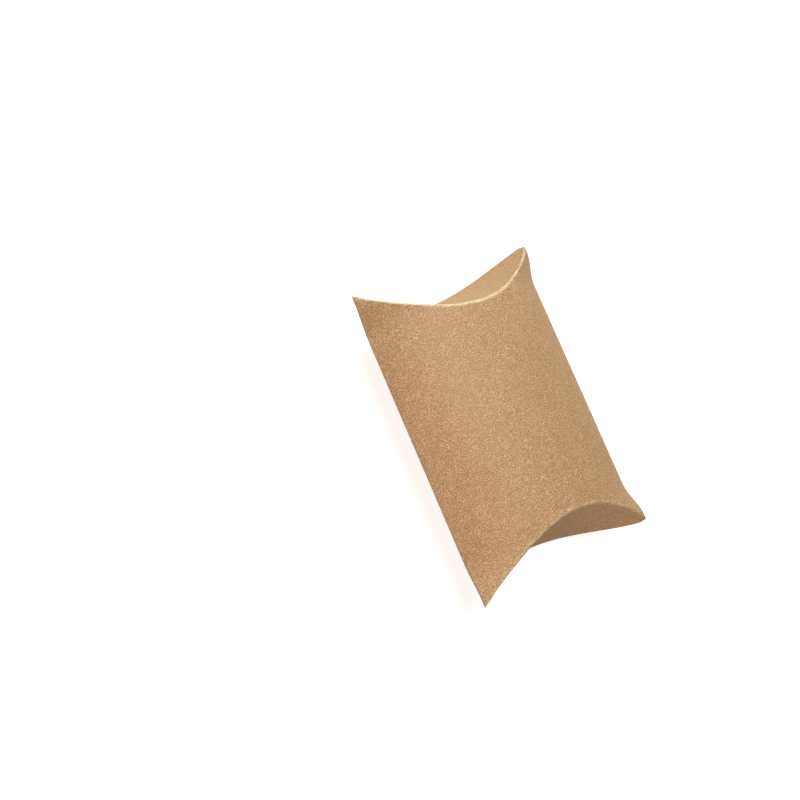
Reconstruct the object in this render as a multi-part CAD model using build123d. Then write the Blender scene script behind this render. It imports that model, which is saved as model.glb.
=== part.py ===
from build123d import *
import math
import os

# Pillow box lying on its back panel. X is the width, Y the length and Z the depth.
# The four creases are planar curves, and each flap is the mirror image of its panel's
# own continuation in the plane of its crease, which is how a curved crease folds.

# Sizes in millimetres
card = 0.45
glue = 0.12
box_length = 89.0
half_width_at_ears = 32.0
waist_narrowing = 0.8
front_rise = 10.5
back_drop = 15.1
fold_drop = 2.3
crease_sagitta = 13.7
ear_setback = 1.2
ear_tip_length = 2.2
outer_flap_overhang = 11.7
inner_flap_overhang = 7.4
inner_flap_inset = 6.4
tip_blunting = 0.5
clearance = 0.35
ear_relief_width = 2.4
glue_tab_width = 12.0
glue_tab_taper = 5.0
glue_tab_end_gap = 0.6
glue_band_width = 5.0
glue_band_margin = 2.0

# Shares: where the cross sections stand along the ears, and where the points of the crease
# stand across the half width
station_shares = [0.0, 0.2, 0.4, 0.6, 0.8, 1.0]
crease_point_shares = [0.0, 0.12, 0.24, 0.36, 0.48, 0.6, 0.7, 0.8, 0.88, 0.94, 0.98, 1.0]

# Derived values
half_length = box_length / 2 + tip_blunting
inner_flap_half_width = half_width_at_ears - inner_flap_inset
tip_level = back_drop
front_level = back_drop + front_rise
overall = box_length + crease_sagitta
crease_apex = half_length - crease_sagitta
ear_start = crease_apex + ear_setback
ear_end = half_length - ear_tip_length
skin_end = half_length + 2 * outer_flap_overhang
glue_tab_half_length = crease_apex - glue_tab_end_gap
glue_tab_start = half_width_at_ears - waist_narrowing - glue_tab_width


def ear_blend(along):
    """0 over the straight middle of the side folds and 1 at the ears."""
    share = min(1.0, max(0.0, (abs(along) - ear_start) / (ear_end - ear_start)))
    return share * share * (3 - 2 * share)


def fold_point(along):
    """Half width and height of the side folds at this place along the length."""
    rest = 1 - ear_blend(along)
    return half_width_at_ears - waist_narrowing * rest, tip_level - fold_drop * rest


def arcs(along):
    """Centre height and radius of the front arc and of the back arc."""
    width, height = fold_point(along)
    rise = front_level - height
    drop = height
    front_radius = (rise * rise + width * width) / (2 * rise)
    back_radius = (drop * drop + width * width) / (2 * drop)
    return front_level - front_radius, front_radius, back_radius, back_radius


def lens_wire(along, front_inset, back_inset):
    """The sleeve's cross section, with both arcs moved inwards by their insets."""
    front_centre, front_radius, back_centre, back_radius = arcs(along)
    front_radius = front_radius - front_inset
    back_radius = back_radius - back_inset
    height = front_radius ** 2 - back_radius ** 2 - front_centre ** 2 + back_centre ** 2
    height = height / (2 * (back_centre - front_centre))
    width = math.sqrt(front_radius ** 2 - (height - front_centre) ** 2)
    left = (-width, along, height)
    right = (width, along, height)
    top = (0, along, front_centre + front_radius)
    low = (0, along, back_centre - back_radius)
    return Wire([ThreePointArc(left, top, right), ThreePointArc(right, low, left)])


def stations():
    """Places along the length that carry a cross section, from end to end."""
    places = [ear_start + share * (ear_end - ear_start) for share in station_shares] + [skin_end]
    return [-place for place in reversed(places)] + places


def lens_solid(front_inset, back_inset):
    """The sleeve's full body with both arcs moved inwards by their insets."""
    sections = [lens_wire(along, front_inset, back_inset) for along in stations()]
    return Solid.make_loft(sections, ruled=True)


def slab(points):
    """A prism as wide as the part, with this outline in the Y and Z directions."""
    outline = Wire.make_polygon([(-overall, along, height) for along, height in points], close=True)
    return Solid.extrude(Face(outline), (2 * overall, 0, 0))


def above_folds():
    """Everything above the surface that joins the two side folds."""
    points = [(along, fold_point(along)[1]) for along in stations()]
    return slab(points + [(skin_end, overall), (-skin_end, overall)])


def surface_height(across, along, side):
    """Height of the outer surface, on the front for side 1 or the back for side -1."""
    front_centre, front_radius, back_centre, back_radius = arcs(along)
    if side > 0:
        return front_centre + math.sqrt(front_radius ** 2 - across ** 2)
    return back_centre - math.sqrt(back_radius ** 2 - across ** 2)


def crease_place(across, side):
    """Where the crease plane cuts the outer surface at this place across the width."""
    apex_level = front_level if side > 0 else 0
    near = crease_apex
    far = half_length
    for step in range(40):
        middle = (near + far) / 2
        plane_level = tip_level + (apex_level - tip_level) * (half_length - middle) / crease_sagitta
        if (surface_height(across, middle, side) - plane_level) * side > 0:
            far = middle
        else:
            near = middle
    return middle


def crease_plane(side):
    """The plane of the top crease, with its Y direction running towards the tips."""
    apex_level = front_level if side > 0 else 0
    run = Vector(0, crease_sagitta, tip_level - apex_level).normalized()
    return Plane(origin=(0, crease_apex, apex_level), x_dir=(1, 0, 0), z_dir=Vector(1, 0, 0).cross(run))


def flap_side(side):
    """A prism square to the crease plane that holds the flap's side of the crease."""
    plane = crease_plane(side)
    apex_level = front_level if side > 0 else 0
    slope = math.hypot(crease_sagitta, tip_level - apex_level) / crease_sagitta
    right = []
    for share in crease_point_shares:
        across = share * half_width_at_ears
        right.append((across, (crease_place(across, side) - crease_apex) * slope))
    points = [(-across, run) for across, run in reversed(right[1:])] + right
    curve = Spline([Vector(across, run) for across, run in points])
    last = points[-1]
    first = points[0]
    rim = Polyline([last, (overall, last[1]), (overall, overall), (-overall, overall),
                    (-overall, first[1]), first])
    region = plane * make_face([curve, rim])
    return extrude(region, overall, both=True)


def flap(skin, overhang, plane, near_side):
    """The flap on the top crease, folded over the top mouth, cut as an arc of a circle."""
    start = crease_apex / 2
    right_tip = (half_width_at_ears, half_length)
    left_tip = (-half_width_at_ears, half_length)
    edge = ThreePointArc(left_tip, (0, half_length + overhang), right_tip)
    sides = Polyline([right_tip, (half_width_at_ears, start), (-half_width_at_ears, start), left_tip])
    unfolded = skin & extrude(make_face([edge, sides]), overall, both=True)
    return mirror(unfolded, about=plane) & near_side


os.makedirs("parts", exist_ok=True)

# The sleeve's skin, split along the side folds
outer_body = lens_solid(0, 0)
inner_body = lens_solid(card, card)
over_body = lens_solid(-card, -card)
upper = above_folds()
skin = outer_body - inner_body
over_skin = over_body - outer_body
within_tips = Pos(0, 0, tip_level) * Box(4 * overall, box_length, 4 * overall)

parts = {}
front_plane = crease_plane(1)
back_plane = crease_plane(-1)
front_near = flap_side(1)
back_near = flap_side(-1)

front_skin = (skin & upper) - front_near - mirror(front_near, about=Plane.XZ)
back_skin = (skin - upper) - back_near - mirror(back_near, about=Plane.XZ)
parts["front_panel"] = front_skin & within_tips
parts["back_panel"] = back_skin & within_tips

# The glue tab inside the right side fold and its band of glue
tab_layer = lens_solid(card, card + glue) - lens_solid(card, 2 * card + glue)
glue_layer = inner_body - lens_solid(card, card + glue)
fold_side = half_width_at_ears + card
tab_short = glue_tab_half_length - glue_tab_taper
tab_outline = Polyline([(glue_tab_start, tab_short), (fold_side, glue_tab_half_length),
                        (fold_side, -glue_tab_half_length), (glue_tab_start, -tab_short)], close=True)
tab_column = extrude(make_face(tab_outline), tip_level)
parts["glue_tab"] = tab_layer & tab_column
band_middle = glue_tab_start + glue_band_margin + glue_band_width / 2
band_length = 2 * (tab_short - glue_band_margin)
band_column = Pos(band_middle, 0, tip_level / 2) * Box(glue_band_width, band_length, tip_level)
parts["glue_line"] = glue_layer & band_column

# The flaps, built at the top mouth and mirrored to the bottom mouth
outer_flap = flap(over_skin & upper, outer_flap_overhang, front_plane, front_near)
relief_top = tip_level + clearance
relief = slab([(half_length + clearance, relief_top), (crease_apex + clearance, 0), (0, 0), (0, relief_top)])
between_ears = Box(2 * (half_width_at_ears - ear_relief_width), 4 * overall, 4 * overall)
outer_flap = (outer_flap - (relief - between_ears)) & within_tips
inner_flap = flap(over_skin - upper, inner_flap_overhang, back_plane, back_near)
inner_flap = inner_flap & Box(2 * inner_flap_half_width, 4 * overall, 4 * overall)
inner_flap = inner_flap & lens_solid(card + clearance, -2 * card)
parts["top_outer_flap"] = outer_flap
parts["top_inner_flap"] = inner_flap
parts["bottom_outer_flap"] = mirror(outer_flap, about=Plane.XZ)
parts["bottom_inner_flap"] = mirror(inner_flap, about=Plane.XZ)

for name, shape in parts.items():
    box = shape.bounding_box()
    print(name, len(shape.solids()), round(shape.volume, 2), box.min, box.max)
    export_step(shape, "parts/" + name + ".step")
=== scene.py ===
# %% [markdown]
# # A kraft pillow box
#
# A pillow box is one flat sheet of brown kraft board. It is die cut, folded along two straight
# side folds, glued into a sleeve with a narrow tab, and closed at both ends by pushing in flaps
# that hang on curved creases. The curved creases are what makes the box stand up: once a flap
# is pushed in, it bows its panel, and the bowed panel keeps the flap shut.
#
# The first cell loads the measured model of the box, so that every piece made below can be
# built in the same place and at the same size. Blender counts in metres. Board is measured in
# millimetres, so the shapes are worked out in those and turned to metres last.

# %% The measured model
import math
import bpy
from mathutils import Vector, Matrix


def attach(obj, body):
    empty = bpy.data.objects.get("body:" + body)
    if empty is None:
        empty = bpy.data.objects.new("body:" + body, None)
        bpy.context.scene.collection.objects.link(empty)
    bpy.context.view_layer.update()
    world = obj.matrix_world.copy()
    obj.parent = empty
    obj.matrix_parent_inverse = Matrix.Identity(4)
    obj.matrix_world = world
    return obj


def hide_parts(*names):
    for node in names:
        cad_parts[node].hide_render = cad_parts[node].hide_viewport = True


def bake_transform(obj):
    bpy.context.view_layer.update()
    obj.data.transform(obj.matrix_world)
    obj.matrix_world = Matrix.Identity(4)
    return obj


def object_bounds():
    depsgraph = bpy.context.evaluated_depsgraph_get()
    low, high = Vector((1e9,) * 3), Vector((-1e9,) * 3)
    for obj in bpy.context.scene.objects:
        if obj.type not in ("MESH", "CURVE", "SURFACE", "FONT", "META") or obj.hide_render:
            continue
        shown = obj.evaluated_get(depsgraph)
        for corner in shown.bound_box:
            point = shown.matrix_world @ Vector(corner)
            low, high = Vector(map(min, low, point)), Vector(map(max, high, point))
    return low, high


# Millimetres in a metre
MM = 1000.0

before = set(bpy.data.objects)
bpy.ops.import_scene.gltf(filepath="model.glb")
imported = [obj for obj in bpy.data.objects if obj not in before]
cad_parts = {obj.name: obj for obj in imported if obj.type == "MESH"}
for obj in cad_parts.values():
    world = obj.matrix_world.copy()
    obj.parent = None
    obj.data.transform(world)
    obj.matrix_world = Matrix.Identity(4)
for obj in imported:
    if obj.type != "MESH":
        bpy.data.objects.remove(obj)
cad_low, cad_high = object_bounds()
print("model box in mm:", [round(MM * v, 1) for v in cad_high - cad_low])

# %% [markdown]
# ## The camera
#
# The picture was taken from above the box's left side with a rather short lens. A camera can be
# moved by eye until the view looks right. Here its place, aim and lens were worked out from the
# four pointed tips and the two front creases, which are easy to find in the picture, because
# that also fixes the box's proportions. The camera is written as a place, a point to look at
# and the direction that is up in the picture, so that each can be read and changed by itself.

# %% The camera
FOCAL_LENGTH_IN_PIXELS = 953
PICTURE_WIDTH = 800
SENSOR_WIDTH = 36.0
NEAREST = 0.01
camera_place = Vector((-0.16482, -0.00565, 0.22754))
camera_target = Vector((-0.03037, 0.01397, 0.0146))
camera_up = Vector((0.29539, 0.91617, 0.27090))

camera_data = bpy.data.cameras.new("camera")
camera_data.sensor_width = SENSOR_WIDTH
camera_data.lens = FOCAL_LENGTH_IN_PIXELS / PICTURE_WIDTH * SENSOR_WIDTH
camera_data.clip_start = NEAREST
camera = bpy.data.objects.new("camera", camera_data)
bpy.context.scene.collection.objects.link(camera)
back = (camera_place - camera_target).normalized()
right = camera_up.cross(back).normalized()
up = back.cross(right)
turn = Matrix((right, up, back)).transposed().to_4x4()
camera.matrix_world = Matrix.Translation(camera_place) @ turn
bpy.context.scene.camera = camera
bpy.context.scene.view_settings.view_transform = "Standard"
print("lens in mm:", round(camera_data.lens, 1))

# %% [markdown]
# ## Colours and nodes
#
# A colour is easiest to read as a hex code, the way screens give it. Blender computes with
# linear light, so one function turns a code into that. Nodes could be placed and joined by hand
# in the shader editor. A small function does it here, so that a material reads from top to
# bottom like a recipe.
#
# The Mix node has a socket for every kind of value that it can mix, so the sockets that it uses
# for colours go by number.

# %% Colours and nodes
WHITE = "#ffffff"
MIX_AMOUNT, MIX_FIRST, MIX_SECOND = 0, 6, 7
MIX_RESULT = 2


def srgb(code):
    """A hex colour as linear red, green and blue, and full opacity."""
    parts = [int(code[i:i + 2], 16) / 255 for i in (1, 3, 5)]
    return [v / 12.92 if v <= 0.04045 else ((v + 0.055) / 1.055) ** 2.4 for v in parts] + [1.0]


def add_node(tree, kind, settings):
    """Adds a shader node with its settings and links. A key is one of the node's properties, or
    the name or number of an input. A node or an output is linked there, other values are set."""
    node = tree.nodes.new("ShaderNode" + kind)
    for key, value in settings.items():
        if isinstance(value, bpy.types.Node):
            tree.links.new(value.outputs[0], node.inputs[key])
        elif isinstance(value, bpy.types.NodeSocket):
            tree.links.new(value, node.inputs[key])
        elif isinstance(key, str) and hasattr(node, key):
            setattr(node, key, value)
        else:
            node.inputs[key].default_value = value
    return node


def empty_material(name):
    """A material whose node tree is still empty."""
    material = bpy.data.materials.new(name)
    material.use_nodes = True
    material.node_tree.nodes.clear()
    return material


print("white in linear light:", srgb(WHITE))

# %% [markdown]
# ## The lamps
#
# Board is nearly matt, so its form is read from soft shading. One bright sky would light it from
# all sides and flatten it. Three soft square lamps shape it better. The key lamp stands beyond
# the far right end, where it lights the top crease and lets the near end fall off, as in the
# picture. A warm, weaker lamp fills from low on the left, and a small one overhead gives the
# front its faint sheen. The world around adds a little light, and looks white to the camera.

# %% The lamps
WORLD_LIGHT = 0.12
box_middle = (0, 0, 0.01)


def area_lamp(name, place, size, power, colour):
    """A soft square lamp at a place, aimed at the middle of the box."""
    data = bpy.data.lights.new(name, "AREA")
    data.shape = "SQUARE"
    data.size = size
    data.energy = power
    data.color = srgb(colour)[:3]
    lamp = bpy.data.objects.new(name, data)
    lamp.location = place
    lamp.rotation_euler = (Vector(box_middle) - Vector(place)).to_track_quat("-Z", "Y").to_euler()
    bpy.context.scene.collection.objects.link(lamp)


area_lamp("key_lamp", place=(0.28, 0.58, 0.52), size=0.40, power=6.4, colour=WHITE)
area_lamp("fill_lamp", place=(-0.50, -0.40, 0.20), size=0.30, power=1.9, colour="#ffe0d4")
area_lamp("sheen_lamp", place=(-0.11, 0.14, 0.62), size=0.18, power=1.9, colour="#fffae8")
world = bpy.data.worlds.new("studio")
bpy.context.scene.world = world
world.use_nodes = True
tree = world.node_tree
tree.nodes.clear()
path = add_node(tree, "LightPath", {})
level = add_node(tree, "MapRange", {"Value": path.outputs["Is Camera Ray"],
                                    "To Min": WORLD_LIGHT, "To Max": 1.0})
sky = add_node(tree, "Background", {"Color": srgb(WHITE), "Strength": level})
add_node(tree, "OutputWorld", {"Surface": sky})

# %% [markdown]
# ## The floor
#
# The box lies on a wide sheet of matt backdrop paper, which throws soft light up onto the board.
# The picture's background is plain white. Brighter lamps would whiten the paper, but would wash
# out the board too. So the paper also glows, for the camera alone, a little less close to the
# box, where it keeps a faint shadow.

# %% The floor
FLOOR_REACH = 3.0
# Strength of the glow, from 60 mm to 300 mm away from the middle of the box
SHADOW_GLOW = {"From Min": 0.06, "From Max": 0.30, "To Min": 0.80, "To Max": 1.0}


def backdrop_paper():
    """Matt paper that glows white for the camera, a little less near the box."""
    material = empty_material("white_backdrop_paper")
    tree = material.node_tree
    matt = add_node(tree, "BsdfDiffuse", {"Color": srgb("#d4cabf")})
    spot = add_node(tree, "TexCoord", {})
    distance = add_node(tree, "VectorMath", {"operation": "LENGTH", 0: spot.outputs["Object"]})
    strength = add_node(tree, "MapRange", {"Value": distance.outputs["Value"], **SHADOW_GLOW})
    glow = add_node(tree, "Emission", {"Color": srgb(WHITE), "Strength": strength})
    both = add_node(tree, "AddShader", {0: matt, 1: glow})
    path = add_node(tree, "LightPath", {})
    seen = add_node(tree, "MixShader", {0: path.outputs["Is Camera Ray"], 1: matt, 2: both})
    add_node(tree, "OutputMaterial", {"Surface": seen})
    return material


corners = [(x * FLOOR_REACH, y * FLOOR_REACH, 0) for x, y in ((-1, -1), (1, -1), (1, 1), (-1, 1))]
floor_mesh = bpy.data.meshes.new("floor")
floor_mesh.from_pydata(corners, [], [(0, 1, 2, 3)])
floor_mesh.materials.append(backdrop_paper())
floor = bpy.data.objects.new("floor", floor_mesh)
bpy.context.scene.collection.objects.link(floor)
print("floor reaches", FLOOR_REACH, "m each way")

# %% [markdown]
# ## Fibres of kraft board
#
# Kraft board is made of long unbleached wood fibres, pressed and dried on rollers. Seen close
# up it isn't one brown: pale fibres lie in every direction over a darker ground, and a few
# longer strands lie on top of them.
#
# A photograph of board could be laid on as an image. Noise textures are used instead, because
# they are sharp at any size and have no seams. They are laid on the flat sheet: every piece
# carries a UV map that measures the unfolded board, so the fibres keep their size and run on
# over the folds. Fibres are really about 0.03 mm wide. They are drawn ten times as wide here,
# so that they show.
#
# A Map Range node turns part of a noise into a pattern. Its four numbers say which values of
# the noise, the From ones, become which strengths of the pattern, the To ones.

# %% Fibres of kraft board
FIBRE_WIDTH = 0.30
FIBRE_DETAIL = 1.0
NOISE_ROUGHNESS = 0.6
NOISE_MIDDLE = 0.5
CELLS_IN_FIBRE = 0.75
RIDGE_WARP = 1.3
STRAND_LENGTH = 2.4
STRAND_WIDTH = 0.22
STRAND_DETAIL = 0.0
STRAND_ANGLES = (18, 77, 141)
RIDGE_LINES = {"From Min": 0.0, "From Max": 0.10, "To Min": 1.0, "To Max": 0.0}
RIDGE_DENSITY = {"From Min": 0.35, "From Max": 0.60, "To Min": 0.25, "To Max": 1.0}
STRAND_LINES = {"From Min": 0.70, "From Max": 0.80, "To Min": 0.0, "To Max": 0.8}


def streaks(tree, sheet, angle, length, width, detail):
    """Noise drawn out into streaks of this length and width in millimetres, at an angle."""
    lying = add_node(tree, "Mapping", {"vector_type": "TEXTURE", "Vector": sheet,
                                       "Rotation": (0, 0, math.radians(angle)),
                                       "Scale": (length, width, 1)})
    return add_node(tree, "TexNoise", {"Vector": lying, "Scale": 1.0, "Detail": detail,
                                       "Roughness": NOISE_ROUGHNESS})


def pale_fibres(tree, sheet, grain):
    """How much pale fibre shows at each place, from 0 to 1."""
    # Tangled fibres: thin ridges where a warped noise crosses its middle value
    warped = add_node(tree, "TexNoise", {"Vector": sheet, "Scale": CELLS_IN_FIBRE / FIBRE_WIDTH,
                                         "Detail": FIBRE_DETAIL, "Roughness": NOISE_ROUGHNESS,
                                         "Distortion": RIDGE_WARP})
    centred = add_node(tree, "Math", {"operation": "SUBTRACT", 0: warped, 1: NOISE_MIDDLE})
    from_ridge = add_node(tree, "Math", {"operation": "ABSOLUTE", 0: centred})
    tangle = add_node(tree, "MapRange", {"Value": from_ridge, **RIDGE_LINES})
    density = add_node(tree, "MapRange", {"Value": grain, **RIDGE_DENSITY})
    pale = add_node(tree, "Math", {"operation": "MULTIPLY", 0: tangle, 1: density})

    # Longer strands, sparse, in three directions
    for angle in STRAND_ANGLES:
        strand = streaks(tree, sheet, angle, STRAND_LENGTH, STRAND_WIDTH, STRAND_DETAIL)
        line = add_node(tree, "MapRange", {"Value": strand, **STRAND_LINES})
        pale = add_node(tree, "Math", {"operation": "MAXIMUM", 0: pale, 1: line})
    return pale


print("fibres drawn", FIBRE_WIDTH, "mm wide, strands", STRAND_LENGTH, "mm long")

# %% [markdown]
# ## Shade, wear and flecks
#
# The board has cloudy patches where the pulp lay thicker, and now and then a dark fleck of
# bark. Folding stretches the fibres, so each crease shows as a paler line, broken into streaks.
# Each of these is a noise of its own size again, so that it can be changed without the others.
# How worn a place is comes from the mesh, in an attribute that is named crease.

# %% Shade, wear and flecks
STREAK_LENGTH = 3.0
STREAK_WIDTH = 0.35
STREAK_DETAIL = 2.0
WEAR_CONTRAST = 1.8
FLECK_SPACING = 3.2
CLOUD_SHADE = {"From Min": 0.3, "From Max": 0.7, "To Min": 0.96, "To Max": 1.04}
GRAIN_SHADE = {"From Min": 0.25, "From Max": 0.75, "To Min": 0.46, "To Max": 1.46}
UNWORN_STREAKS = {"From Min": 0.3, "From Max": 0.7, "To Min": -0.75, "To Max": -0.05}
FLECK_SIZE = {"From Min": 0.5, "From Max": 1.0, "To Min": 0.0, "To Max": 0.07}
FLECK_SHADE = {"From Min": 0.0, "From Max": 1.0, "To Min": 1.0, "To Max": 0.72}


def board_shade(tree, sheet, grain, cloud):
    """How light the board is at each place: cloudy, grainy, and darker at its flecks of bark."""
    cloudy = add_node(tree, "MapRange", {"Value": cloud, **CLOUD_SHADE})
    grainy = add_node(tree, "MapRange", {"Value": grain, **GRAIN_SHADE})
    shade = add_node(tree, "Math", {"operation": "MULTIPLY", 0: cloudy, 1: grainy})

    # Each fleck lies in its own cell, and chance leaves half of the cells bare
    cells = add_node(tree, "TexVoronoi", {"Vector": sheet, "Scale": 1 / FLECK_SPACING})
    chance = add_node(tree, "SeparateColor", {0: cells.outputs["Color"]})
    size = add_node(tree, "MapRange", {"Value": chance, **FLECK_SIZE})
    fleck = add_node(tree, "Math", {"operation": "LESS_THAN", 0: cells.outputs["Distance"], 1: size})
    flecked = add_node(tree, "MapRange", {"Value": fleck, **FLECK_SHADE})
    return add_node(tree, "Math", {"operation": "MULTIPLY", 0: shade, 1: flecked})


def crease_streaks(tree, sheet):
    """How much the worn fibres of a crease show at each place, from 0 to 1."""
    # Streaks take wear away, so light wear shows as thin lines and strong wear as a band
    worn = add_node(tree, "Attribute", {"attribute_name": "crease"}).outputs["Fac"]
    streak = streaks(tree, sheet, 0, STREAK_LENGTH, STREAK_WIDTH, STREAK_DETAIL)
    unworn = add_node(tree, "MapRange", {"Value": streak, **UNWORN_STREAKS})
    wear = add_node(tree, "Math", {"operation": "ADD", 0: worn, 1: unworn})
    return add_node(tree, "Math", {"operation": "MULTIPLY", "use_clamp": True,
                                   0: wear, 1: WEAR_CONTRAST})


print("flecks about", FLECK_SPACING, "mm apart")

# %% [markdown]
# ## The board's finish
#
# Now the patterns come together. Pale fibre lies over the brown ground, the worn creases lie
# over both, and the inner face, which has no pressed finish, is a little duller. The rollers
# leave the face nearly matt, with a faint sheen that is stronger where it is seen at a slant,
# and the fibres stand proud of it by a few hundredths of a millimetre, which a bump can show.

# %% The board's finish
CLOUD_WIDTH = 9.0
CLOUD_DETAIL = 3.0
FIBRE_HEIGHT = 0.06
BOARD_IOR = 1.5
BOARD_SHEEN = 0.9
BOARD_ROUGHNESS = {"From Min": 0.3, "From Max": 0.7, "To Min": 0.40, "To Max": 0.48}


def kraft_board(name, ground, fibre, crease, inside):
    """Unbleached kraft board, for pieces that carry the sheet's own UV map in metres."""
    material = empty_material(name)
    tree = material.node_tree
    place = add_node(tree, "UVMap", {"uv_map": "sheet"})
    sheet = add_node(tree, "VectorMath", {"name": "sheet_in_mm", "operation": "SCALE",
                                          0: place, "Scale": MM})
    grain = add_node(tree, "TexNoise", {"Vector": sheet, "Scale": 1 / FIBRE_WIDTH,
                                        "Detail": FIBRE_DETAIL, "Roughness": NOISE_ROUGHNESS})
    cloud = add_node(tree, "TexNoise", {"Vector": sheet, "Scale": 1 / CLOUD_WIDTH,
                                        "Detail": CLOUD_DETAIL, "Roughness": NOISE_ROUGHNESS})
    pale = pale_fibres(tree, sheet, grain)
    wear = crease_streaks(tree, sheet)
    shade = board_shade(tree, sheet, grain, cloud)

    # Colour: fibre over ground, wear over both, duller on the inner face, and then the shade
    fibrous = add_node(tree, "Mix", {"data_type": "RGBA", MIX_AMOUNT: pale,
                                     MIX_FIRST: srgb(ground), MIX_SECOND: srgb(fibre)})
    creased = add_node(tree, "Mix", {"data_type": "RGBA", MIX_AMOUNT: wear,
                                     MIX_FIRST: fibrous.outputs[MIX_RESULT],
                                     MIX_SECOND: srgb(crease)})
    inner = add_node(tree, "Attribute", {"attribute_name": "inside"}).outputs["Fac"]
    faced = add_node(tree, "Mix", {"data_type": "RGBA", "blend_type": "MULTIPLY",
                                   MIX_AMOUNT: inner,
                                   MIX_FIRST: creased.outputs[MIX_RESULT],
                                   MIX_SECOND: srgb(inside)})
    colour = add_node(tree, "VectorMath", {"operation": "SCALE", 0: faced.outputs[MIX_RESULT],
                                           "Scale": shade})

    # Surface: fibres that stand proud, and a sheen that varies with the pulp
    height = add_node(tree, "Math", {"operation": "ADD", 0: grain, 1: pale})
    bump = add_node(tree, "Bump", {"Strength": 1.0, "Distance": FIBRE_HEIGHT / MM, "Height": height})
    roughness = add_node(tree, "MapRange", {"Value": cloud, **BOARD_ROUGHNESS})
    board = add_node(tree, "BsdfPrincipled", {"Base Color": colour, "IOR": BOARD_IOR,
                                              "Specular IOR Level": BOARD_SHEEN,
                                              "Roughness": roughness, "Normal": bump})
    add_node(tree, "OutputMaterial", {"Surface": board})
    return material


kraft = kraft_board("kraft_board", ground="#9f7449", fibre="#efca94", crease="#ead9b8", inside="#e6ded6")
print("kraft board nodes:", len(kraft.node_tree.nodes))

# %% [markdown]
# ## The shape of the folded board
#
# Across the box, front and back are two arcs that meet at the side folds. Along the box the
# arcs are straight, apart from the ears at the four corners, where the folds lift and spread
# a little. A flat grid could be bent into this by modifiers or by a cloth simulation. A formula
# is used instead, because board can't stretch, and because all pieces then meet exactly.
#
# The cell below gives the place of any point of the outer skin, and the direction that points
# out of the box there. A column says where a point stands across the box: from -1 to 1 it is a
# share of the arc, and from 1 to 2 it goes round the side fold, to the middle of its turn.

# %% The skin of the sleeve
BOARD = 0.45
TIP_BLUNTING = 0.5
WAIST_NARROWING = 0.8
TIP_LEVEL = 15.1
FOLD_DROP = 2.3
FOLD_RADIUS = 0.6
CREASE_SAGITTA = 13.7
EAR_SETBACK = 1.2
EAR_TIP_LENGTH = 2.2

# The overall sizes come from the measured model
EAR_HALF_WIDTH = round(MM * cad_high.x, 1)
HALF_LENGTH = round(MM * cad_high.y, 1) + TIP_BLUNTING
FRONT_LEVEL = round(MM * cad_high.z, 1)
CREASE_APEX = HALF_LENGTH - CREASE_SAGITTA
EAR_START = CREASE_APEX + EAR_SETBACK
EAR_END = HALF_LENGTH - EAR_TIP_LENGTH
FRONT, BACK = 1, -1


def fold_point(along):
    """Half width and height of the side folds at this place along the box."""
    share = min(1.0, max(0.0, (abs(along) - EAR_START) / (EAR_END - EAR_START)))
    rest = 1 - share * share * (3 - 2 * share)
    return EAR_HALF_WIDTH - WAIST_NARROWING * rest, TIP_LEVEL - FOLD_DROP * rest


def arc(side, along):
    """Radius, centre height and half angle of one panel's arc."""
    width, height = fold_point(along)
    rise = FRONT_LEVEL - height if side == FRONT else height
    radius = (rise * rise + width * width) / (2 * rise)
    centre = FRONT_LEVEL - radius if side == FRONT else radius
    return radius, centre, math.asin(width / radius)


def skin(side, column, along):
    """A point of the outer skin and its outward direction."""
    radius, centre, half = arc(side, along)
    width, height = fold_point(along)

    # How far from level this panel and the other one face at the side fold, the direction half
    # way between them, and half of the angle between them
    facing = math.pi / 2 - half
    other = math.pi / 2 - arc(-side, along)[2]
    middle = side * (facing - other) / 2
    sweep = (facing + other) / 2
    if abs(column) <= 1:
        turn = column * (half - FOLD_RADIUS * math.tan(sweep) / radius)
        place = Vector((radius * math.sin(turn), along, centre + side * radius * math.cos(turn)))
        return place, Vector((math.sin(turn), 0, side * math.cos(turn)))

    # Beyond the arc, a point goes round a small circle inside the fold
    hand = 1 if column > 0 else -1
    turn = side * facing + (middle - side * facing) * (abs(column) - 1)
    out = Vector((hand * math.cos(turn), 0, math.sin(turn)))
    inset = FOLD_RADIUS / math.cos(sweep)
    hub = Vector((hand * (width - inset * math.cos(middle)), along, height - inset * math.sin(middle)))
    return hub + FOLD_RADIUS * out, out


print("skin at the middle of the front:", [round(v, 2) for v in skin(FRONT, 0, 0)[0]])
print("skin at the right fold:", [round(v, 2) for v in skin(FRONT, 2, 0)[0]])

# %% [markdown]
# ## The creases
#
# Each curved crease lies in one plane, which passes through the two tips and the middle of the
# crease. Where a curved crease lies in a plane, the flap is the mirror image of what the panel
# would be if it simply ran on: every straight line of the panel is reflected in that plane.
# So the flap's true curved form needs no guessing, only a mirror.
#
# Where a column of the panel meets that plane is found by halving: the middle of a stretch is
# tried, and the half that holds the meeting is kept. Folded board doesn't break sharply. Panel
# and flap turn into the crease over a small radius, and a handled box has slightly worn tips.

# %% The creases
CREASE_RADIUS = 0.95
CREASE_STEPS = 6
TIP_ROUNDING = 0.55
TIP_REACH = 1.0
SEARCH_MARGIN = 1.0
HALVINGS = 40


def apex_level(side):
    """Height of the crease in the middle of the box."""
    return FRONT_LEVEL if side == FRONT else 0.0


def crease_frame(side):
    """Direction along the crease plane towards the tips, and the plane's outward direction."""
    along = Vector((0, CREASE_SAGITTA, TIP_LEVEL - apex_level(side))).normalized()
    return along, side * Vector((0, -along.z, along.y))


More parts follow.
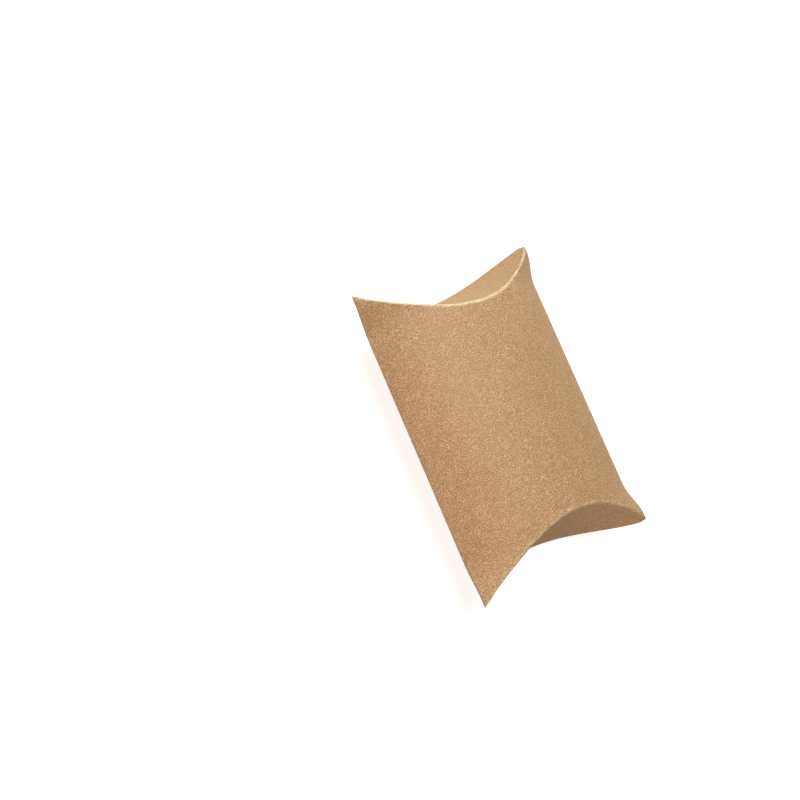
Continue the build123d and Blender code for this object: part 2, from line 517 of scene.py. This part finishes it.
def crease_reach(side, column):
    """How far along the box a column of the panel runs before it meets its crease."""
    rise = apex_level(side) - TIP_LEVEL
    near, far = CREASE_APEX - SEARCH_MARGIN, HALF_LENGTH
    for halving in range(HALVINGS):
        middle = (near + far) / 2
        plane = TIP_LEVEL + rise * (HALF_LENGTH - middle) / CREASE_SAGITTA
        if (skin(side, column, middle)[0].z - plane) * side > 0:
            far = middle
        else:
            near = middle
    point = skin(side, column, middle)[0]
    from_tip = (EAR_HALF_WIDTH - abs(point.x)) / TIP_REACH
    return middle - TIP_ROUNDING * math.exp(-from_tip * from_tip)


def reflected(vector, out):
    """A direction mirrored in the crease plane."""
    return vector - 2 * vector.dot(out) * out


def crease_tangent(side, radius):
    """How far the rounded crease reaches along the panel, and as far along the flap."""
    return radius * math.tan(math.acos(abs(crease_frame(side)[1].z)))


def crease_turn(side, column, radius, turn):
    """A point of the rounded crease and its outward direction. The turn is 0 in its middle, 1 on
    the panel and -1 on the flap."""
    along, out = crease_frame(side)
    corner, normal = skin(side, column, crease_reach(side, column))
    half = math.acos(abs(out.z))
    centre = corner - out * radius / math.cos(half)
    angle = half * abs(turn)
    place = centre + radius * (out * math.cos(angle) - along * math.sin(angle) * (1 if turn > 0 else -1))
    far = normal if turn >= 0 else -reflected(normal, out)
    share = max(abs(turn), min(1.0, abs(column) - 1))
    return place, out.slerp(far, share) if share > 0 else out.copy()


for side in (FRONT, BACK):
    out = crease_frame(side)[1]
    print("crease plane faces", [round(v, 2) for v in out], "fold in degrees",
          round(2 * math.degrees(math.acos(abs(out.z)))))

# %% [markdown]
# ## From points to board
#
# Every piece of the box is a sheet: a grid of points with an outward direction at each. The
# Solidify modifier could give it thickness. It is done in the mesh here, so that a flap can get
# thinner towards its tips. The cell also closes the cut edges, and stores what the material
# needs: the unfolded sheet's own coordinates, how worn each point is, and which face is the
# inner one.

# %% A sheet of board
INNER_FACE_WEAR = 0.3
SHARP_EDGE = math.radians(50)


def sheet_faces(tall, wide):
    """Faces of a closed sheet: an outer layer of points, an inner one, and the cut edges."""
    count = tall * wide
    faces = []
    for i in range(tall - 1):
        for j in range(wide - 1):
            a = i * wide + j
            faces.append((a, a + 1, a + wide + 1, a + wide))
            faces.append((count + a, count + a + wide, count + a + wide + 1, count + a + 1))

    # The points round the edge of the sheet, in order
    rim = list(range(wide)) + [i * wide + wide - 1 for i in range(1, tall)]
    rim = rim + [(tall - 1) * wide + j for j in range(wide - 2, -1, -1)]
    rim = rim + [i * wide for i in range(tall - 2, 0, -1)]
    for a, b in zip(rim, rim[1:] + rim[:1]):
        faces.append((b, a, count + a, count + b))
    return faces


def board_sheet(name, rows, thickness):
    """Makes a piece of board from rows of (point, out, across, along, wear) in millimetres.
    The thickness has one value for each column."""
    places, flat, crease, inside = [], [], [], []
    for layer in (0, 1):
        for row in rows:
            for (point, out, across, along, worn), depth in zip(row, thickness):
                places.append((point - out * depth * layer) / MM)
                flat.append((across / MM, along / MM))
                crease.append(worn if layer == 0 else INNER_FACE_WEAR * worn)
                inside.append(float(layer))
    mesh = bpy.data.meshes.new(name)
    mesh.from_pydata(places, [], sheet_faces(len(rows), len(rows[0])))
    mesh.update()
    uv = mesh.uv_layers.new(name="sheet")
    for loop in mesh.loops:
        uv.data[loop.index].uv = flat[loop.vertex_index]
    for label, values in (("crease", crease), ("inside", inside)):
        attribute = mesh.attributes.new(label, "FLOAT", "POINT")
        attribute.data.foreach_set("value", values)
    mesh.shade_smooth()
    mesh.set_sharp_from_angle(angle=SHARP_EDGE)
    mesh.materials.append(kraft)
    piece = bpy.data.objects.new(name, mesh)
    bpy.context.scene.collection.objects.link(piece)
    print(name, "points:", len(places))
    return piece


def rows_of(side, lines):
    """Turns columns of points into rows, in the order that makes the faces look outwards."""
    rows = [list(row) for row in zip(*lines)]
    return rows if side == FRONT else [list(reversed(row)) for row in rows]


def other_end(vector):
    """The same place or direction at the other end of the box."""
    return Vector((vector.x, -vector.y, vector.z))


def mirrored_rows(rows):
    """The same sheet for the other end of the box."""
    return [[(other_end(point), other_end(out), across, -along, worn)
             for point, out, across, along, worn in reversed(row)] for row in rows]


# %% [markdown]
# ## Columns
#
# Both panels and the outer flaps share the same columns across the sheet, so that panel and
# flap meet point for point along the crease, and front and back meet along the side folds. The
# columns stand closer together near the folds, where the crease bends most.
#
# Folds that are handled get worn. The long side folds are worn in the middle of their turn. The
# top crease is worn most at its left, and the bottom one less.

# %% Columns across the sheet
ARC_COLUMNS = 96
FOLD_STEPS = 6
CROWDING = 0.3
HALF_TURN_WIDTH = 0.5
FOLD_WEAR = 0.55
FOLD_WEAR_START = 1.15
TOP_WEAR = 1.0
TOP_WEAR_LOSS = 0.3
BOTTOM_WEAR = 0.7
PRESSED_WEAR = 0.65
PRESSED_WIDTH = 0.45
TOP, BOTTOM = 1, -1
even_columns = [-1 + 2 * i / ARC_COLUMNS for i in range(ARC_COLUMNS + 1)]
arc_columns = [(1 + CROWDING) * c - CROWDING * c ** 3 for c in even_columns]
fold_columns = [1 + (i + 1) / FOLD_STEPS for i in range(FOLD_STEPS)]
columns = [-c for c in reversed(fold_columns)] + arc_columns + fold_columns


def across_sheet(side, column):
    """Distance across the unfolded sheet from the middle of the panel."""
    radius, centre, half = arc(side, 0)
    reach = min(1.0, abs(column)) * radius * half + max(0.0, abs(column) - 1) * HALF_TURN_WIDTH
    return math.copysign(reach, column)


def fold_wear(column):
    """How worn the board is at the side folds."""
    return FOLD_WEAR * max(0.0, abs(column) - FOLD_WEAR_START)


def crease_wear(end, column):
    """How worn the middle of the crease is at this end and column."""
    across_share = (1 + max(-1.0, min(1.0, column))) / 2
    return TOP_WEAR - TOP_WEAR_LOSS * across_share if end == TOP else BOTTOM_WEAR


def pressed_wear(distance):
    """Wear beside the crease, where the creasing rule pressed the board."""
    return PRESSED_WEAR * math.exp(-distance / PRESSED_WIDTH)


print("columns:", len(columns), "sheet width in mm:", round(2 * across_sheet(FRONT, 2), 1))

# %% [markdown]
# ## Where a flap ends
#
# A crease can't turn over a wider radius than the flap beyond it has room for, so the length of
# the flap comes first. The die cut its free edge as an arc of a circle through the two tips.

# %% Where a flap ends
OUTER_OVERHANG = 11.7
INNER_OVERHANG = 7.4
PANEL_CREASE_SHARE = 0.3
TURN_FADE = 0.35


def ruling(side, column, overhang):
    """Length of the flap along this column, from its crease to its free edge."""
    reach = crease_reach(side, column)
    across = min(EAR_HALF_WIDTH, abs(skin(side, column, reach)[0].x))
    edge_radius = (EAR_HALF_WIDTH ** 2 + overhang ** 2) / (2 * overhang)
    edge = math.sqrt(edge_radius ** 2 - across ** 2) - (edge_radius - overhang)
    return HALF_LENGTH + edge - reach


def crease_size(side, column):
    """Radius of the crease, smaller where the flap narrows to the tip."""
    return min(CREASE_RADIUS, PANEL_CREASE_SHARE * ruling(side, column, OUTER_OVERHANG))


def crease_points(side, column, radius, hand):
    """A column's points in the turn of the crease, from its middle to the panel for a hand of 1,
    or to the flap for -1: the place, the outward direction, how far along the sheet it lies, and
    its share of the wear."""
    reach = crease_reach(side, column)
    tangent = crease_tangent(side, radius)
    points = []
    for i in range(CREASE_STEPS):
        turn = hand * i / CREASE_STEPS
        place, facing = crease_turn(side, column, radius, turn)
        points.append((place, facing, reach - tangent * turn, 1 - TURN_FADE * abs(turn)))
    return points


print("outer flap in mm:", round(ruling(FRONT, 0, OUTER_OVERHANG), 1))

# %% [markdown]
# ## Front and back panels
#
# A panel runs from crease to crease. Each column is straight along the box, ends in the turn
# of the crease at both ends, and carries a paler band where the crease was pressed. The sleeve
# doesn't move, so both panels simply ride on it and stand for the plainer solids of the model.

# %% Front and back panels
PANEL_ROWS = 90


def panel_line(side, column):
    """Points of one column of a panel, from its bottom crease to its top crease."""
    radius = crease_size(side, column)
    turned = crease_points(side, column, radius, 1)
    straight = crease_reach(side, column) - crease_tangent(side, radius)
    across = across_sheet(side, column)
    worn = fold_wear(column)
    top, low = crease_wear(TOP, column), crease_wear(BOTTOM, column)
    line = [(other_end(p), other_end(n), across, -a, max(worn, low * w)) for p, n, a, w in turned]
    for i in range(PANEL_ROWS + 1):
        along = straight * (2 * i / PANEL_ROWS - 1)
        place, facing = skin(side, column, along)
        pressed = pressed_wear(straight - abs(along)) * (top if along > 0 else low)
        line.append((place, facing, across, along, max(worn, pressed)))
    return line + [(p, n, across, a, max(worn, top * w)) for p, n, a, w in reversed(turned)]


for side, name in ((FRONT, "front_panel"), (BACK, "back_panel")):
    rows = rows_of(side, [panel_line(side, column) for column in columns])
    panel = board_sheet("kraft_" + name, rows, [BOARD] * len(columns))
    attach(panel, "sleeve")
    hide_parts(name)

# %% [markdown]
# ## Length and thickness of a flap
#
# The outer flap reaches from tip to tip and thins towards them, so that its two layers end in
# a point. The inner flap behind it is shorter and narrower and has rounded corners, so that it
# can swing past the front panel. Its columns are shortened step by step until they clear that
# panel's inner face, which is simpler than solving for the length.

# %% Length and thickness of a flap
INNER_HALF_WIDTH = 25.5
INNER_CORNER = 2.5
INNER_CLEARANCE = 0.4
SHORTEST_INNER = 2.0
TRIM_STEP = 0.05
TAPER_LENGTH = 6.0


def outer_length(column):
    """Length of the outer flap along this column."""
    return ruling(FRONT, column, OUTER_OVERHANG)


def inner_length(column):
    """Length of the inner flap, with rounded corners, kept clear of the front panel."""
    out = crease_frame(BACK)[1]
    length = ruling(BACK, column, INNER_OVERHANG)
    reach = crease_reach(BACK, column)
    corner = skin(BACK, column, reach)[0]
    beyond = (abs(corner.x) - (INNER_HALF_WIDTH - INNER_CORNER)) / INNER_CORNER
    if beyond > 0:
        length -= INNER_CORNER * (1 - math.sqrt(max(0.0, 1 - min(1.0, beyond) ** 2)))
    while length > SHORTEST_INNER:
        point = corner + reflected(skin(BACK, column, reach + length)[0] - corner, out)
        radius, centre, half = arc(FRONT, point.y)
        if math.hypot(point.x, point.z - centre) < radius - BOARD - INNER_CLEARANCE:
            break
        length -= TRIM_STEP
    return length


def flap_board(length_of, flap_columns):
    """Thickness of a flap along each column: it thins where the flap narrows to its tips."""
    return [BOARD * min(1.0, length_of(column) / TAPER_LENGTH) for column in flap_columns]


inner_reach = INNER_HALF_WIDTH / skin(BACK, 1, CREASE_APEX)[0].x
inner_columns = [inner_reach * c for c in arc_columns]
print("flap lengths in mm:", round(outer_length(0), 1), round(inner_length(0), 1))

# %% [markdown]
# ## Points of a flap
#
# A flap starts in the turn of the crease and runs straight to its free edge. Board is springy:
# the free edge of a pushed-in flap stands a little out of the mouth, here mostly in its right
# half. The mirror alone would leave the edge where a limp flap has it, so the spring is added
# to it, growing from nothing at the crease.

# %% Points of a flap
FLAP_ROWS = 26
EDGE_TRIM = 0.1
FLAP_CREASE_SHARE = 0.4
LEAN_START = -0.4
LEAN_WIDTH = 1.2
LEAN_POWER = 8
SPRING_POWER = 1.5


def lean(share):
    """How much of its spring a flap shows at this share of its half width: none at its left,
    most towards its right end, and none at the tips, which the crease holds."""
    ramp = min(1.0, max(0.0, (share - LEAN_START) / LEAN_WIDTH))
    return ramp * ramp * (3 - 2 * ramp) * (1 - share ** LEAN_POWER)


def flap_line(side, column, length, spring, end):
    """Points of one column of a flap, from its crease to its free edge. The spring is how far
    the free edge stands out along the box, where it stands out most."""
    out = crease_frame(side)[1]
    reach = crease_reach(side, column)
    corner = skin(side, column, reach)[0]
    radius = min(crease_size(side, column), FLAP_CREASE_SHARE * length)
    tangent = crease_tangent(side, radius)
    across = across_sheet(side, column)
    worn = crease_wear(end, column)
    line = [(p, n, across, a, worn * w) for p, n, a, w in crease_points(side, column, radius, -1)]
    stand = spring * lean(corner.x / EAR_HALF_WIDTH)
    for i in range(FLAP_ROWS + 1):
        distance = tangent + (length - EDGE_TRIM - tangent) * i / FLAP_ROWS
        point, normal = skin(side, column, reach + distance)
        place = corner + reflected(point - corner, out)
        place.y += stand * (distance / length) ** SPRING_POWER
        pressed = pressed_wear(distance - tangent) * worn
        line.append((place, -reflected(normal, out), across, reach + distance, pressed))
    return line


print("share of the spring in the middle and half way right:", round(lean(0), 2), round(lean(0.5), 2))

# %% [markdown]
# ## Flaps on their creases
#
# When a flap is opened by hand, the board bends so that the crease stays joined all along its
# curve. A flap that rode on its hinge as a stiff plate would tear away from the panel there.
# Here each flap is only built in its closed place on its crease. It isn't tied to the sleeve
# or to a hinge, and nothing bends it.

# %% Flaps on their creases
# How far a bend would run from the crease into the box, and how far it would tilt away from
# the tips. Two points are worked out from them below, but nothing uses them.
FLAP_BLEND = 3.5
FLAP_TILT = math.radians(10)
TOP_SPRING = 1.3
BOTTOM_SPRING = 1.9


def hang_flap(name, side, end, spring):
    """Makes a flap at one end of the box, on its crease."""
    flap_columns = arc_columns if side == FRONT else inner_columns
    length_of = outer_length if side == FRONT else inner_length
    lines = [flap_line(side, column, length_of(column), spring, end) for column in flap_columns]
    rows = rows_of(side, lines)
    thickness = flap_board(length_of, flap_columns)
    thickness = thickness if side == FRONT else thickness[::-1]
    along, out = crease_frame(side)
    inward = -out * math.cos(FLAP_TILT) - along * math.sin(FLAP_TILT)
    start = Vector((0, CREASE_APEX, apex_level(side)))
    stop = start + FLAP_BLEND * inward
    if end == BOTTOM:
        rows = mirrored_rows(rows)
        thickness = thickness[::-1]
        start, stop = other_end(start), other_end(stop)
    piece = board_sheet("kraft_" + name, rows, thickness)
    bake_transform(piece)
    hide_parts(name)


for end, word, spring in ((TOP, "top", TOP_SPRING), (BOTTOM, "bottom", BOTTOM_SPRING)):
    hang_flap(word + "_outer_flap", FRONT, end, spring)
    hang_flap(word + "_inner_flap", BACK, end, 0)

# %% [markdown]
# ## Glue tab and glue
#
# The tab is a narrow strip of the same board behind the right side fold. It only shows when a
# flap is open. Its own solid is already right, so it keeps it and gets the board's material,
# with the pattern laid on by place, because the solid has no map of the sheet. The glue is a
# thin band of white glue, which dries hard, cream and smoother than the board.

# %% Glue tab and glue
GLUE_STREAK_WIDTH = 2.5
GLUE_STREAK_DETAIL = 2.0
GLUE_ROUGHNESS = 0.35


def tab_board():
    """The board's material for a solid that has no map of the sheet."""
    material = kraft.copy()
    material.name = "kraft_board_of_the_tab"
    tree = material.node_tree
    spot = add_node(tree, "TexCoord", {})
    tree.links.new(spot.outputs["Object"], tree.nodes["sheet_in_mm"].inputs[0])
    return material


def dried_glue():
    """White glue that dried in a thin band, a little uneven in colour."""
    material = empty_material("dried_white_glue")
    tree = material.node_tree
    spot = add_node(tree, "TexCoord", {})
    uneven = add_node(tree, "TexNoise", {"Vector": spot.outputs["Object"],
                                         "Scale": MM / GLUE_STREAK_WIDTH,
                                         "Detail": GLUE_STREAK_DETAIL})
    tint = add_node(tree, "Mix", {"data_type": "RGBA", MIX_AMOUNT: uneven,
                                  MIX_FIRST: srgb("#e6dcc4"), MIX_SECOND: srgb("#f2ecdc")})
    surface = add_node(tree, "BsdfPrincipled", {"Base Color": tint.outputs[MIX_RESULT],
                                                "Roughness": GLUE_ROUGHNESS})
    add_node(tree, "OutputMaterial", {"Surface": surface})
    return material


for node, material in (("glue_tab", tab_board()), ("glue_line", dried_glue())):
    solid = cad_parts[node]
    solid.data.materials.clear()
    solid.data.materials.append(material)
print("materials:", [m.name for m in bpy.data.materials])
